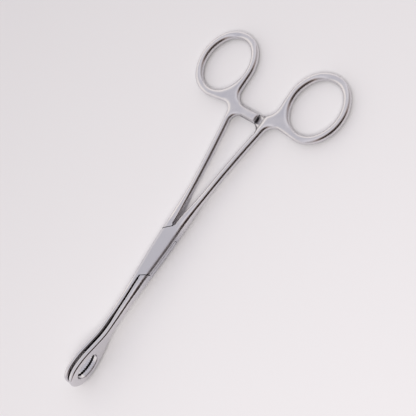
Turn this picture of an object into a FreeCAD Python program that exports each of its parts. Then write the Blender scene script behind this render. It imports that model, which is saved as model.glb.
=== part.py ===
import FreeCAD, Part
import math
import os

# Sponge forceps with a box lock, a ratchet and two finger rings.
# Three pieces: the box half, the male half that turns inside it, and the lock pin.
# X runs along the instrument towards the rings, Y across it, Z is the pin axis.
# The pieces are drawn about the middle plane of the lock and lifted at the end,
# so that the origin lies on the underside of the lock, at the pin axis.

# Reach of the jaws and of the rings from the pin axis
jaw_reach = 70.4
handle_reach = 109.5

# Box lock: thickness, and half widths at its front end, pin and rear end
lock_thickness = 5.5
lock_front_x = 14.0
lock_rear_x = 15.0
lock_front_half_width = 3.5
lock_half_width = 4.35
lock_rear_half_width = 4.78
lock_edge_radius = 2.0
seam_reach = 10.4
front_seam_angle = 33.0
rear_seam_angle = 40.6
crotch_radius = 0.8
slot_radius = 10.1
tongue_thickness = 1.7

# Lock pin with a countersunk head at each end, ground flush
pin_diameter = 3.4
pin_head_diameter = 4.4
pin_head_depth = 0.6

# Running clearances
pin_clearance = 0.04
slot_clearance = 0.18
slot_end_clearance = 0.2
seam_clearance = 0.35
slit_width = 0.7
jaw_gap = 0.9

# Jaw shanks
shank_half_height = 2.2
shank_depth = 2.92
shank_edge_radius = 1.3
shank_lock_swell = 15.0
shank_jaw_swell = 8.0
slit_edge_radius = 0.4

# Jaws: flat-backed oval loops with a window
jaw_half_height = 7.15
jaw_depth = 2.8
jaw_nose_length = 9.0
jaw_nose_radius = 6.3
jaw_flank_radius = 26.0
jaw_flank_length = 8.5
jaw_root_radius = 26.0
jaw_edge_radius = 1.05
jaw_inner_radius = 0.8
window_length = 12.8
window_height = 8.2
window_end_radius = 3.4
window_lead = 4.4
window_edge_radius = 0.6
rim_flat = 0.1

# Serrations across the inner faces of the jaws
serration_pitch = 1.05
serration_depth = 0.36
serration_count = 18
serration_lead = 1.1
serration_border = 1.9

# Handle shanks
handle_thickness = 3.8
handle_width = 3.3
handle_edge_radius = 1.55
handle_swell_share = 0.38
handle_bow_power = 1.45

# Finger rings
ring_hole_length = 27.6
ring_hole_width = 22.9
ring_hole_end_radius = 10.2
ring_width = 3.7
ring_offset = 26.34
ring_edge_radius = 1.8

# Ring roots and ratchet arms
root_start_setback = 43.5
root_start_y = 8.55
root_angle = 8.5
root_slant = 6.5
root_outer_corner = 5.2
root_inner_corner = 4.2
root_ring_corner = 6.5
arm_setback = 34.1
arm_width = 4.8
arm_overlap = 4.5
arm_gap = 0.3
arm_step = 8.1

# Ratchet teeth
ratchet_pitch = 1.5
ratchet_depth = 0.6
ratchet_count = 6
ratchet_lead = 0.5
ratchet_undercut = 0.15

# Values that follow
middle = lock_thickness / 2
handle_half = handle_thickness / 2
half_slit = slit_width / 2
half_gap = jaw_gap / 2
widest_x = jaw_nose_length - jaw_reach
ring_x = handle_reach - ring_hole_length / 2 - ring_width
root_start_x = handle_reach - root_start_setback
arm_x = handle_reach - arm_setback
ring_inner_y = ring_offset - ring_hole_width / 2 - ring_width
shank_stations = 7
handle_stations = 9
tool_size = 400.0
join_overlap = 1.0
near_zero = 0.01


def vector(x, y, z=0.0):
    return FreeCAD.Vector(x, y, z)


def face(edges):
    return Part.Face(Part.Wire(Part.__sortEdges__(edges)))


def polygon(points):
    corners = [vector(x, y) for x, y in points]
    return Part.Face(Part.makePolygon(corners + corners[:1]))


def arc(centre_x, centre_y, radius, start, end):
    """A plan arc between two angles in degrees."""
    circle = Part.Circle(vector(centre_x, centre_y), vector(0, 0, 1), radius)
    return Part.ArcOfCircle(circle, math.radians(start), math.radians(end)).toShape()


def mirror_y(shape):
    return shape.mirror(vector(0, 0), vector(0, 1))


def upright(plan, low=-tool_size / 2, high=tool_size / 2):
    """Extrude a plan face along Z between two heights."""
    placed = plan.copy()
    placed.translate(vector(0, 0, low))
    return placed.extrude(vector(0, 0, high - low))


def sideways(side, low=-tool_size / 2, high=tool_size / 2):
    """Stand up a face drawn with its height along Y, and extrude it across the instrument."""
    placed = side.copy()
    placed.rotate(vector(0, 0), vector(1, 0), 90)
    placed.translate(vector(0, high))
    return placed.extrude(vector(0, low - high))


def block(x_low, x_high, y_low, y_high, z_low=-tool_size / 2, z_high=tool_size / 2):
    size = (x_high - x_low, y_high - y_low, z_high - z_low)
    return Part.makeBox(*size, vector(x_low, y_low, z_low))


def with_fillet(shape, radius, chosen):
    edges = [edge for edge in shape.Edges if chosen(edge)]
    return shape.makeFillet(radius, edges).Solids[0]


def flank(length, width, end_radius):
    """Flank radius of a four-arc oval, and the angle where its end arcs stop."""
    run = length - end_radius
    radius = (run**2 + width**2 - end_radius**2) / (2 * (width - end_radius))
    return radius, math.degrees(math.atan2(radius - width, run))


def oval(centre_x, centre_y, length, width, end_radius, offset=0.0):
    """A four-arc oval from its half length and half width, grown by an offset."""
    radius, angle = flank(length, width, end_radius)
    run = length - end_radius
    rise = radius - width
    ends = end_radius + offset
    sides = radius + offset
    return face(
        [
            arc(centre_x + run, centre_y, ends, -angle, angle),
            arc(centre_x, centre_y - rise, sides, angle, 180 - angle),
            arc(centre_x - run, centre_y, ends, 180 - angle, 180 + angle),
            arc(centre_x, centre_y + rise, sides, 180 + angle, 360 - angle),
        ]
    )


def section(x, y_low, y_high, half_height, radius_low, radius_high, turn=0.0):
    """A rounded rectangle across the instrument at one X, turned about its upright middle line."""
    corners = [
        (y_high - radius_high, half_height - radius_high, radius_high, 0),
        (y_low + radius_low, half_height - radius_low, radius_low, 90),
        (y_low + radius_low, radius_low - half_height, radius_low, 180),
        (y_high - radius_high, radius_high - half_height, radius_high, 270),
    ]
    edges = []
    for y, z, radius, start in corners:
        points = []
        for step in (0, 45, 90):
            angle = math.radians(start + step)
            points.append(vector(x, y + radius * math.cos(angle), z + radius * math.sin(angle)))
        if edges:
            edges.append(Part.makeLine(edges[-1].Vertexes[-1].Point, points[0]))
        edges.append(Part.Arc(*points).toShape())
    edges.append(Part.makeLine(edges[-1].Vertexes[-1].Point, edges[0].Vertexes[0].Point))
    wire = Part.Wire(edges)
    wire.rotate(vector(x, (y_low + y_high) / 2), vector(0, 0, 1), turn)
    return wire


def loft(stations):
    return Part.makeLoft([section(*station) for station in stations], True, False)


def fade(share):
    """Falls smoothly from 1 to 0 while the share grows from 0 to 1."""
    return (1 + math.cos(math.pi * min(share, 1))) / 2


def lock_body():
    """The lock of both halves as one body, ground flush together."""
    widths = [
        (-lock_front_x, lock_front_half_width),
        (0, lock_half_width),
        (lock_rear_x, lock_rear_half_width),
    ]
    return loft([(x, -width, width, middle, lock_edge_radius, lock_edge_radius) for x, width in widths])


def jaw_flank():
    """Slope in degrees where the rear flank arc of the loop ends, and the height there."""
    slope = math.asin(jaw_flank_length / jaw_flank_radius)
    return math.degrees(slope), jaw_half_height - jaw_flank_radius * (1 - math.cos(slope))


def jaw_root():
    """X where the straight side of the jaw ends, and X where its root runs out into the shank."""
    slope, flank_height = jaw_flank()
    turn = math.radians(slope)
    fall = flank_height - shank_half_height - jaw_root_radius * (1 - math.cos(turn))
    straight_end = widest_x + jaw_flank_length + fall / math.tan(turn)
    return straight_end, straight_end + jaw_root_radius * math.sin(turn)


def jaw_shank():
    """Shank between the lock and the jaw, on the +Y side, swelling towards both."""
    start = jaw_root()[1]
    length = -lock_front_x - start
    stations = []
    for number in range(shank_stations):
        x = start + length * number / (shank_stations - 1)
        lock_swell = fade((-lock_front_x - x) / shank_lock_swell)
        jaw_swell = fade((x - start) / shank_jaw_swell)
        depth = shank_depth + lock_swell * (lock_front_half_width - shank_depth)
        depth += jaw_swell * (jaw_depth - shank_depth)
        height = shank_half_height + lock_swell * (middle - shank_half_height)
        edge = shank_edge_radius + lock_swell * (lock_edge_radius - shank_edge_radius)
        edge += jaw_swell * (jaw_edge_radius - shank_edge_radius)
        inner = half_slit + jaw_swell * (half_gap - half_slit)
        inner_edge = slit_edge_radius + jaw_swell * (jaw_inner_radius - slit_edge_radius)
        stations.append((x, inner, depth, height, inner_edge, edge))
    return loft(stations)


def jaw_outline():
    """Side outline of a jaw down to its root, drawn with its height along Y."""
    front_radius, front_angle = flank(jaw_nose_length, jaw_half_height, jaw_nose_radius)
    slope, flank_height = jaw_flank()
    straight_end, shank_end = jaw_root()
    root_height = shank_half_height + jaw_root_radius
    nose_x = widest_x - jaw_nose_length + jaw_nose_radius
    nose = arc(nose_x, 0, jaw_nose_radius, 180 - front_angle, 180 + front_angle)
    front = arc(widest_x, jaw_half_height - front_radius, front_radius, 90, 180 - front_angle)
    rear = arc(widest_x, jaw_half_height - jaw_flank_radius, jaw_flank_radius, 90 - slope, 90)
    root = arc(shank_end, root_height, jaw_root_radius, 270 - slope, 270)
    rear_end = vector(widest_x + jaw_flank_length, flank_height)
    root_top = root_height - jaw_root_radius * math.cos(math.radians(slope))
    straight = Part.makeLine(rear_end, vector(straight_end, root_top))
    side = [front, rear, straight, root]
    end = Part.makeLine(vector(shank_end, shank_half_height), vector(shank_end, -shank_half_height))
    return face([nose, end] + side + [mirror_y(edge) for edge in side])


def jaw():
    """The oval loop of the +Y jaw, with its window and rounded rims."""
    outline = jaw_outline()
    window_x = window_length / 2 + window_lead - jaw_reach
    hole = oval(window_x, 0, window_length / 2, window_height / 2, window_end_radius)
    body = sideways(outline, half_gap, jaw_depth)
    for y, radius in ((jaw_depth, jaw_edge_radius), (half_gap, jaw_inner_radius)):
        body = with_fillet(
            body,
            radius,
            lambda edge: abs(edge.CenterOfMass.y - y) < near_zero < edge.BoundBox.XLength,
        )
    body = body.cut(sideways(hole)).Solids[0]
    rim = outline.OuterWire.distToShape(hole.OuterWire)[0]
    room = rim - jaw_edge_radius - rim_flat
    return with_fillet(body, min(window_edge_radius, room), outer_window_edge)


def outer_window_edge(edge):
    box = edge.BoundBox
    front = window_lead - jaw_reach
    inside = front - near_zero < box.XMin and box.XMax < front + window_length + near_zero
    return inside and box.YMin > jaw_depth - near_zero


def root_y(x, side):
    """Edge of the shank beside the ring root; side is 1 for the outer edge."""
    turn = math.radians(root_angle)
    return root_start_y + math.tan(turn) * (x - root_start_x) + side * handle_width / 2 / math.cos(turn)


def handle_shank():
    """Shank between the lock and the ring root, on the +Y side, slimming from the lock."""
    start_y = (crotch_radius + lock_rear_half_width) / 2
    start_width = lock_rear_half_width - crotch_radius
    stations = []
    for number in range(handle_stations):
        share = number / (handle_stations - 1)
        swell = fade(share / handle_swell_share)
        x = lock_rear_x + share * (root_start_x - lock_rear_x)
        y = start_y + share**handle_bow_power * (root_start_y - start_y)
        half_width = (handle_width + swell * (start_width - handle_width)) / 2
        height = handle_half + swell * (middle - handle_half)
        inner = handle_edge_radius + swell * (slit_edge_radius - handle_edge_radius)
        outer = handle_edge_radius + swell * (lock_edge_radius - handle_edge_radius)
        turn = root_angle if share == 1 else 0
        stations.append((x, y - half_width, y + half_width, height, inner, outer, turn))
    return loft(stations)


def ring_root():
    """Upright walls where shank, ring and arm run together, without the ring hole."""
    arm_left = arm_x - arm_width / 2
    arm_right = arm_x + arm_width / 2
    turn = math.radians(root_angle)
    across_x = math.sin(turn) * handle_width / 2
    across_y = math.cos(turn) * handle_width / 2
    shank = polygon(
        [
            (root_start_x + across_x, root_start_y - across_y),
            (root_start_x - across_x, root_start_y + across_y),
            (arm_right, root_y(arm_right, 1)),
            (arm_right, root_y(arm_right, -1)),
        ]
    )
    arm = polygon(
        [
            (arm_left, -arm_overlap),
            (arm_right, -arm_overlap),
            (arm_right, ring_inner_y - join_overlap),
            (arm_left, ring_inner_y - join_overlap),
        ]
    )
    half_size = (ring_hole_length / 2, ring_hole_width / 2)
    ring = oval(ring_x, ring_offset, *half_size, ring_hole_end_radius, ring_width)
    end_radius = ring_hole_end_radius + ring_width
    slant = math.radians(root_slant)
    touch_x = ring_x - ring_hole_length / 2 + ring_hole_end_radius - end_radius * math.cos(slant)
    touch_y = ring_offset - end_radius * math.sin(slant)
    web = polygon(
        [
            (touch_x, touch_y),
            (touch_x + (touch_y - ring_inner_y) * math.tan(slant), ring_inner_y),
            (ring_x, ring_inner_y),
            (ring_x, ring_offset),
        ]
    )
    solids = [upright(plan, -handle_half, handle_half) for plan in (shank, arm, ring, web)]
    return solids[0].fuse(solids[1:]).removeSplitter().Solids[0]


def is_upright(edge):
    return edge.BoundBox.ZLength > handle_half and edge.BoundBox.XLength < near_zero


def corner_fillets(body):
    """Round the upright inside corners where shank, arm and ring meet."""
    corners = [
        (arm_x - arm_width / 2, root_y(arm_x, -1), root_inner_corner),
        (arm_x, root_y(arm_x, 1), root_outer_corner),
        (arm_x + arm_width / 2, ring_inner_y, root_ring_corner),
    ]
    for x, y, radius in corners:
        uprights = [edge for edge in body.Edges if is_upright(edge)]
        near = min(uprights, key=lambda edge: math.hypot(edge.CenterOfMass.x - x, edge.CenterOfMass.y - y))
        body = body.makeFillet(radius, [near]).Solids[0]
    return body


def root_edge(edge):
    """Top and bottom edges of the root, but for its ends at the shank and at the arm tip."""
    centre = edge.CenterOfMass
    ends = centre.x < root_start_x + near_zero or centre.y < near_zero - arm_overlap
    return abs(centre.z) > handle_half - near_zero and not ends


def ring_hole_edge(edge):
    centre = edge.CenterOfMass
    reach = math.hypot(centre.x - ring_x, centre.y - ring_offset)
    return abs(centre.z) > handle_half - near_zero and reach < ring_hole_length / 2


def ratchet_notches():
    """Saw-tooth notches in the lower face of an arm that reaches from +Y past the middle."""
    face_z = arm_gap / 2
    notches = []
    for number in range(ratchet_count):
        start = ratchet_lead - arm_overlap + number * ratchet_pitch
        steep = start + ratchet_pitch * ratchet_undercut
        notch = polygon(
            [
                (start, face_z - ratchet_depth),
                (start + ratchet_pitch, face_z - ratchet_depth),
                (start + ratchet_pitch, face_z),
                (steep, face_z + ratchet_depth),
                (start, face_z),
            ]
        )
        notch.rotate(vector(0, 0), vector(1, 0), 90)
        notch.rotate(vector(0, 0), vector(0, 0, 1), 90)
        notch.translate(vector(arm_x - arm_width, 0))
        notches.append(notch.extrude(vector(2 * arm_width, 0)))
    return notches


def handle():
    """The +Y handle: shank, ring, and an upper ratchet arm with its teeth below."""
    body = with_fillet(corner_fillets(ring_root()), handle_edge_radius, root_edge)
    hole = oval(ring_x, ring_offset, ring_hole_length / 2, ring_hole_width / 2, ring_hole_end_radius)
    body = with_fillet(body.cut(upright(hole)).Solids[0], ring_edge_radius, ring_hole_edge)
    reach = arm_width / 2 + root_inner_corner + join_overlap
    below = block(arm_x - reach, arm_x + reach, -ring_offset, arm_step, -lock_thickness, arm_gap / 2)
    body = body.cut([below] + ratchet_notches()).Solids[0]
    return body.fuse(handle_shank())


def jaw_grooves():
    """Serrations across the inner face of the +Y jaw, within a plain border."""
    field = sideways(jaw_outline().makeOffset2D(-serration_border))
    grooves = []
    half_width = serration_pitch / 2
    for number in range(serration_count):
        x = serration_lead - jaw_reach + number * serration_pitch
        groove = polygon(
            [
                (x - half_width, 0),
                (x - half_width, half_gap),
                (x, half_gap + serration_depth),
                (x + half_width, half_gap),
                (x + half_width, 0),
            ]
        )
        grooves.append(upright(groove).common(field))
    return grooves


def front_arm():
    """The +Y jaw on its shank, serrated."""
    return jaw().fuse(jaw_shank()).cut(jaw_grooves()).Solids[0]


def beyond_seam(angle, reach, y_low, y_high):
    """The plan region past a slanting seam of the lock, within a band of Y."""
    region = block(reach, tool_size, -tool_size, tool_size)
    region.rotate(vector(0, 0), vector(0, 0, 1), angle)
    return region.common(block(-tool_size, tool_size, y_low, y_high))


def tongue_space(end_gap, side_gap, half_thickness):
    """The space that the tongue sweeps: a disc, and a neck towards each shank."""
    reach = slot_radius - end_gap
    disc = Part.Face(Part.Wire(Part.makeCircle(reach)))
    front = polygon(
        [(-lock_front_x, side_gap), (-lock_front_x, -reach), (0, -reach), (0, side_gap)]
    )
    rear = polygon([(lock_rear_x, -side_gap), (lock_rear_x, reach), (0, reach), (0, -side_gap)])
    return [upright(plan, -half_thickness, half_thickness) for plan in (disc, front, rear)]


def lock_pin():
    """Pin with two countersunk heads, ground flush with the lock."""
    shank = pin_diameter / 2
    head = pin_head_diameter / 2
    neck_z = middle - pin_head_depth
    profile = polygon(
        [
            (0, -middle),
            (head, -middle),
            (shank, -neck_z),
            (shank, neck_z),
            (head, middle),
            (0, middle),
        ]
    )
    profile.rotate(vector(0, 0), vector(1, 0), 90)
    return profile.revolve(vector(0, 0), vector(0, 0, 1), 360)


def box_half(lock, jaw_side, handle_side):
    """The half with the box: jaw on the +Y side, handle on the -Y side."""
    box = lock.cut(
        [
            beyond_seam(180 + front_seam_angle, seam_reach, -tool_size, half_slit),
            beyond_seam(rear_seam_angle, seam_reach, -half_slit, tool_size),
        ]
    )
    turned = mirror_y(handle_side).mirror(vector(0, 0), vector(0, 0, 1))
    body = box.fuse([jaw_side, turned])
    half_slot = tongue_thickness / 2 + slot_clearance
    return body.cut(tongue_space(0, half_slit, half_slot) + [lock_pin()]).Solids[0]


def male_half(lock, jaw_side, handle_side):
    """The half that passes through the box: jaw on the -Y side, handle on the +Y side."""
    shoulder = seam_reach + seam_clearance
    throat = lock.common(beyond_seam(180 + front_seam_angle, shoulder, -tool_size, -half_slit))
    heel = lock.common(beyond_seam(rear_seam_angle, shoulder, half_slit, tool_size))
    disc, front, rear = tongue_space(slot_end_clearance, -half_slit, tongue_thickness / 2)
    tongue = lock.common(disc.fuse([front, rear]))
    body = mirror_y(jaw_side).fuse([throat, heel, tongue, handle_side])
    bore = Part.makeCylinder(pin_diameter / 2 + pin_clearance, lock_thickness, vector(0, 0, -middle))
    return body.cut(bore).Solids[0]


crotch = Part.makeCylinder(crotch_radius, lock_thickness, vector(lock_rear_x, 0, -middle))
lock = lock_body().cut(crotch)
jaw_side = front_arm()
handle_side = handle()
pieces = {
    "box_half": box_half(lock, jaw_side, handle_side),
    "male_half": male_half(lock, jaw_side, handle_side),
    "lock_pin": lock_pin(),
}

os.makedirs("parts", exist_ok=True)
for name, piece in pieces.items():
    piece.translate(vector(0, 0, middle))
    print(name, piece.isValid(), round(piece.Volume, 1))
    piece.exportStep(f"parts/{name}.step")
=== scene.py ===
import math

import bpy
from mathutils import Matrix, Vector


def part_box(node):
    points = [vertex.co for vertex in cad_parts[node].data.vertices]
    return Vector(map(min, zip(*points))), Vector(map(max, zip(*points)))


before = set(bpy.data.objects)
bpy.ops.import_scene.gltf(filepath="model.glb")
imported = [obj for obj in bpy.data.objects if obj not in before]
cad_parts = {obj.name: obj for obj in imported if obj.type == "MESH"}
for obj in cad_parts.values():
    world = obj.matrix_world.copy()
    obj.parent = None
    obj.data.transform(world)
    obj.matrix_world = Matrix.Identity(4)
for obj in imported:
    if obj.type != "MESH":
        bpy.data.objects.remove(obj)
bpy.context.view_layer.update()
scene = bpy.context.scene
scene.view_settings.view_transform = "Standard"

# Camera, at the photograph's viewing angle
camera_lens = 68.105
camera_place = Vector((0.014514, -0.185458, 0.307694))
camera_right = Vector((0.553921, -0.731784, -0.397068))
camera_down = Vector((-0.831501, -0.462095, -0.308340))
camera_forward = Vector((0.042155, 0.500959, -0.864444))

# Floor, under the jaws and the finger rings
jaw_x = -0.0610
jaw_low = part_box("box_half")[0].z
ring_x = 0.1078
ring_low = 0.00085
floor_gap = 0.00001
floor_radius = 2.5
floor_colour = (0.74, 0.73, 0.74, 1)

# Soft key lamp
key_place = Vector((-0.2, -0.45, 0.75))
key_target = Vector((0.02, 0, 0))
key_size = 0.35
key_power = 4.5
key_colour = (1.0, 0.98, 0.97)

# Studio: brightness by the lean from the zenith in degrees, from the camera's side to the far side
tent = [
    (-90, (0.45, 0.42, 0.42)),
    (-40, (0.45, 0.42, 0.42)),
    (-15, (0.75, 0.73, 0.76)),
    (5, (0.92, 0.90, 0.94)),
    (22, (0.68, 0.67, 0.72)),
    (38, (0.68, 0.67, 0.72)),
    (50, (1.16, 1.11, 1.06)),
    (68, (1.08, 1.03, 1.00)),
    (90, (0.85, 0.82, 0.82)),
]

# Dark opening of the tent behind the camera, and its brown border
opening_direction = Vector((-0.10, -0.86, 0.50)).normalized()
opening_narrowing = (0.7, 1, 1)
border_reach = (46, 33)
border_colour = (0.40, 0.31, 0.28, 1)
opening_reach = (35, 24)
opening_colour = (0.04, 0.03, 0.026, 1)

# Stainless steel, polished all over and ground dull on the lock
steel_dark = (0.66, 0.65, 0.68, 1)
steel_light = (0.74, 0.72, 0.73, 1)
lock_steel = (0.61, 0.605, 0.64, 1)
lock_reach = (0.010, 0.018)
lock_roughness = 0.24
# Painted shade: near-black colour put on the steel where ambient occlusion finds close surfaces, in the jaw
# slit, seams and crevices
painted_crevice_shade = (0.03, 0.025, 0.025, 1)
painted_shade_reach = 0.0016
crown_radius = 0.003
crown_start = (0.018, 0.050)


class Tree:
    """A node tree in which each call adds a node, fills its inputs and returns one output."""

    def __init__(self, owner):
        owner.use_nodes = True
        self.nodes = owner.node_tree.nodes
        self.links = owner.node_tree.links

    def fill(self, node, inputs):
        for name, value in inputs.items():
            if isinstance(value, bpy.types.NodeSocket):
                self.links.new(value, node.inputs[name])
            else:
                node.inputs[name].default_value = value

    def add(self, kind, output, inputs, **settings):
        node = self.nodes.new("ShaderNode" + kind)
        for name, value in settings.items():
            setattr(node, name, value)
        self.fill(node, inputs)
        return node.outputs[output]

    def mix(self, share, first, second):
        return self.add("Mix", 2, {0: share, 6: first, 7: second}, data_type="RGBA")

    def spread(self, source, start, end, low, high, shape="LINEAR"):
        inputs = {"Value": source, "From Min": start, "From Max": end, "To Min": low, "To Max": high}
        return self.add("MapRange", "Result", inputs, interpolation_type=shape)


def aim(item, place, target):
    item.location = place
    item.rotation_euler = (target - place).to_track_quat("-Z", "Y").to_euler()
    scene.collection.objects.link(item)


def add_camera():
    data = bpy.data.cameras.new("camera")
    data.sensor_width = 36.0
    data.lens = camera_lens
    data.clip_start = 0.01
    camera = bpy.data.objects.new("camera", data)
    turn = Matrix((camera_right, -camera_down, -camera_forward)).transposed()
    camera.matrix_world = Matrix.Translation(camera_place) @ turn.to_4x4()
    scene.collection.objects.link(camera)
    scene.camera = camera


def add_floor():
    slope = (ring_low - jaw_low) / (ring_x - jaw_x)
    bpy.ops.mesh.primitive_circle_add(vertices=128, radius=floor_radius, fill_type="NGON")
    floor = bpy.context.object
    floor.name = "floor"
    floor.rotation_euler = (0, -math.atan(slope), 0)
    floor.location = (0, 0, jaw_low - jaw_x * slope - floor_gap)
    paint = bpy.data.materials.new("floor_paint")
    tree = Tree(paint)
    look = {"Base Color": floor_colour, "Roughness": 0.9, "Specular IOR Level": 0.0}
    tree.fill(tree.nodes["Principled BSDF"], look)
    floor.data.materials.append(paint)


def add_key_lamp():
    data = bpy.data.lights.new("key", "AREA")
    data.size = key_size
    data.energy = key_power
    data.color = key_colour
    key = bpy.data.objects.new("key", data)
    key.visible_glossy = False
    aim(key, key_place, key_target)


def add_studio():
    world = bpy.data.worlds.new("studio")
    scene.world = world
    tree = Tree(world)
    direction = tree.add("TexCoord", "Generated", {})
    across = tree.add("SeparateXYZ", "Y", {"Vector": direction})
    upward = tree.add("SeparateXYZ", "Z", {"Vector": direction})
    lean = tree.add("Math", "Value", {0: across, 1: upward}, operation="ARCTAN2")
    share = tree.spread(lean, -math.pi / 2, math.pi / 2, 0, 1)
    light = tree.add("ValToRGB", "Color", {"Fac": share})
    elements = light.node.color_ramp.elements
    while len(elements) < len(tent):
        elements.new(0.5)
    for element, (angle, colour) in zip(elements, tent):
        element.position = (angle + 90) / 180
        element.color = (*colour, 1)

    narrowed = tree.add("VectorMath", "Vector", {0: direction, 1: opening_narrowing}, operation="MULTIPLY")
    turned = tree.add("VectorMath", "Vector", {0: narrowed}, operation="NORMALIZE")
    nearness = tree.add("VectorMath", "Value", {0: turned, 1: opening_direction}, operation="DOT_PRODUCT")
    for (outer, inner), colour in ((border_reach, border_colour), (opening_reach, opening_colour)):
        start = math.cos(math.radians(outer))
        end = math.cos(math.radians(inner))
        light = tree.mix(tree.spread(nearness, start, end, 0, 1, "SMOOTHSTEP"), light, colour)

    seen = tree.add("LightPath", "Is Camera Ray", {})
    tree.fill(tree.nodes["Background"], {"Color": tree.mix(seen, light, floor_colour)})


def steel():
    material = bpy.data.materials.new("satin_steel")
    tree = Tree(material)
    coords = tree.add("TexCoord", "Object", {})

    def noise(scale, detail, stretch):
        stretched = tree.add("Mapping", "Vector", {"Vector": coords, "Scale": stretch})
        return tree.add("TexNoise", "Fac", {"Vector": stretched, "Scale": scale, "Detail": detail})

    clouds = noise(90, 4, (1, 1, 1))
    waves = noise(170, 1, (0.5, 1, 1))
    grain = noise(1500, 3, (0.05, 1, 1))
    scratches = noise(5200, 2, (0.02, 1, 0.6))

    # Colour, duller on the lock, with painted shade darkening the crevices
    along = tree.add("SeparateXYZ", "X", {"Vector": coords})
    from_pin = tree.add("Math", "Value", {0: along}, operation="ABSOLUTE")
    at_lock = tree.spread(from_pin, *lock_reach, 1, 0)
    colour = tree.mix(tree.spread(clouds, 0.3, 0.7, 0, 1), steel_dark, steel_light)
    colour = tree.mix(at_lock, colour, lock_steel)
    # Painted shade: ambient occlusion darkens the colour towards near black in crevices and between the jaws
    openness = tree.add("AmbientOcclusion", "AO", {"Distance": painted_shade_reach}, samples=8)
    colour = tree.mix(tree.spread(openness, 0.3, 0.8, 1, 0), colour, painted_crevice_shade)

    # Polish, with the grain of the last grinding and cloudy wear
    grained = tree.spread(grain, 0.3, 0.7, 0.12, 0.19)
    worn = tree.spread(clouds, 0.3, 0.7, 0.0, 0.05)
    polish = tree.add("Math", "Value", {0: grained, 1: worn}, operation="ADD")
    inputs = {0: at_lock, 1: lock_roughness, 2: polish}
    roughness = tree.add("Math", "Value", inputs, operation="MULTIPLY_ADD")

    # Surface: crowned by polishing on the handle side, with waves, grain and fine scratches
    flat = tree.add("NewGeometry", "Normal", {})
    crowned = tree.add("Bevel", "Normal", {"Radius": crown_radius}, samples=16)
    at_handle = tree.spread(along, *crown_start, 0, 1)
    blended = tree.add("Mix", 1, {0: at_handle, 4: flat, 5: crowned}, data_type="VECTOR")
    surface = tree.add("VectorMath", "Vector", {0: blended}, operation="NORMALIZE")
    for height, strength, depth in ((waves, 1.0, 0.00003), (grain, 0.2, 0.00002), (scratches, 0.12, 0.00001)):
        inputs = {"Strength": strength, "Distance": depth, "Height": height, "Normal": surface}
        surface = tree.add("Bump", "Normal", inputs)

    look = {"Metallic": 1.0, "Base Color": colour, "Roughness": roughness, "Normal": surface}
    tree.fill(tree.nodes["Principled BSDF"], look)
    return material


add_camera()
add_floor()
add_key_lamp()
add_studio()
finish = steel()
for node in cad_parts.values():
    node.data.materials.clear()
    node.data.materials.append(finish)
